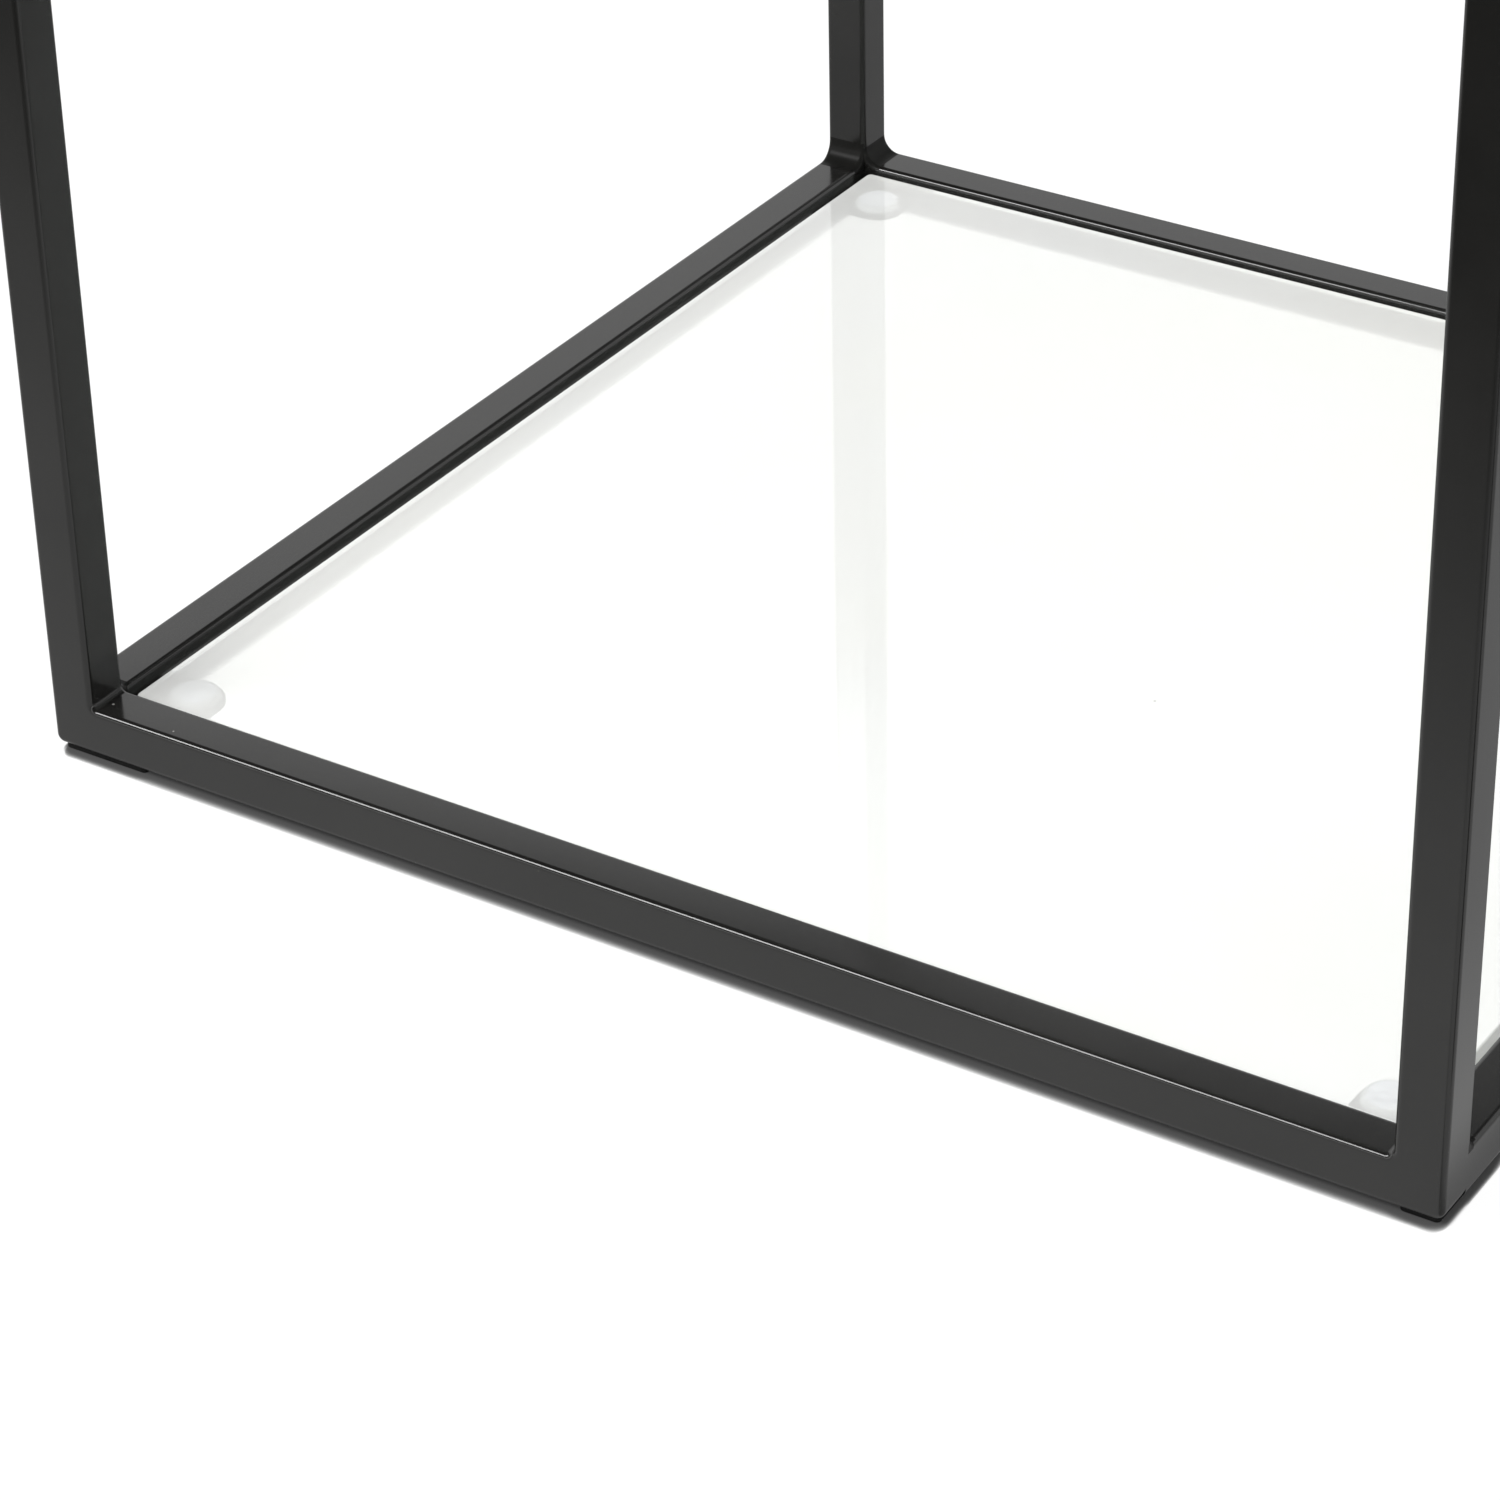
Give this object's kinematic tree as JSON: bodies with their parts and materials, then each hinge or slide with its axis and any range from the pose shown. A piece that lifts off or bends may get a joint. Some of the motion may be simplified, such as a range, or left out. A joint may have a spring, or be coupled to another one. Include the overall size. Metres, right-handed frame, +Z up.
{
  "type": "nesting tables",
  "caption": "Set of nesting side tables in black square steel tube with inset glass tops; the smaller has a glass shelf in its base frame and slides under the larger, open-ended one.",
  "frame": {"origin": "on the floor, at the middle of the set's bounding box as it stands with the small table pulled out", "axes": "+X from the small table towards the closed end of the large one, which is the way the small table slides in; +Z up"},
  "size_m": [1.01, 0.5, 0.5],
  "materials": {
    "black_frame": "satin black powder coat on welded square steel tube",
    "shelf_glass": "flat toughened glass with a light whitish haze and polished, rounded edges",
    "clear_pad": "soft clear polyurethane, faintly blue",
    "foot_pad": "matt black foam rubber"
  },
  "bodies": {
    "large_table": {"large_leg_open_front": "black_frame", "large_leg_open_back": "black_frame", "large_leg_end_front": "black_frame", "large_leg_end_back": "black_frame", "large_base_rail_front": "black_frame", "large_base_rail_back": "black_frame", "large_base_rail_end": "black_frame", "large_top_rail_front": "black_frame", "large_top_rail_back": "black_frame", "large_top_rail_open": "black_frame", "large_top_rail_end": "black_frame", "large_weld_fillets": "black_frame", "large_top_tabs": "black_frame", "large_top_bumpers": "clear_pad", "large_top_glass": "shelf_glass", "large_foot_pads": "foot_pad"},
    "small_table": {"small_leg_front_left": "black_frame", "small_leg_front_right": "black_frame", "small_leg_back_left": "black_frame", "small_leg_back_right": "black_frame", "small_base_rail_front": "black_frame", "small_base_rail_back": "black_frame", "small_base_rail_left": "black_frame", "small_base_rail_right": "black_frame", "small_top_rail_front": "black_frame", "small_top_rail_back": "black_frame", "small_top_rail_left": "black_frame", "small_top_rail_right": "black_frame", "small_weld_fillets": "black_frame", "small_shelf_tabs": "black_frame", "small_shelf_bumpers": "clear_pad", "small_shelf_glass": "shelf_glass", "small_top_tabs": "black_frame", "small_top_bumpers": "clear_pad", "small_top_glass": "shelf_glass", "small_foot_pads": "foot_pad"}
  },
  "joints": [
    {"name": "small_table_slide", "type": "slide", "parent": "large_table", "child": "small_table", "axis": [1, 0, 0], "range_m": [0, 0.533]}
  ]
}
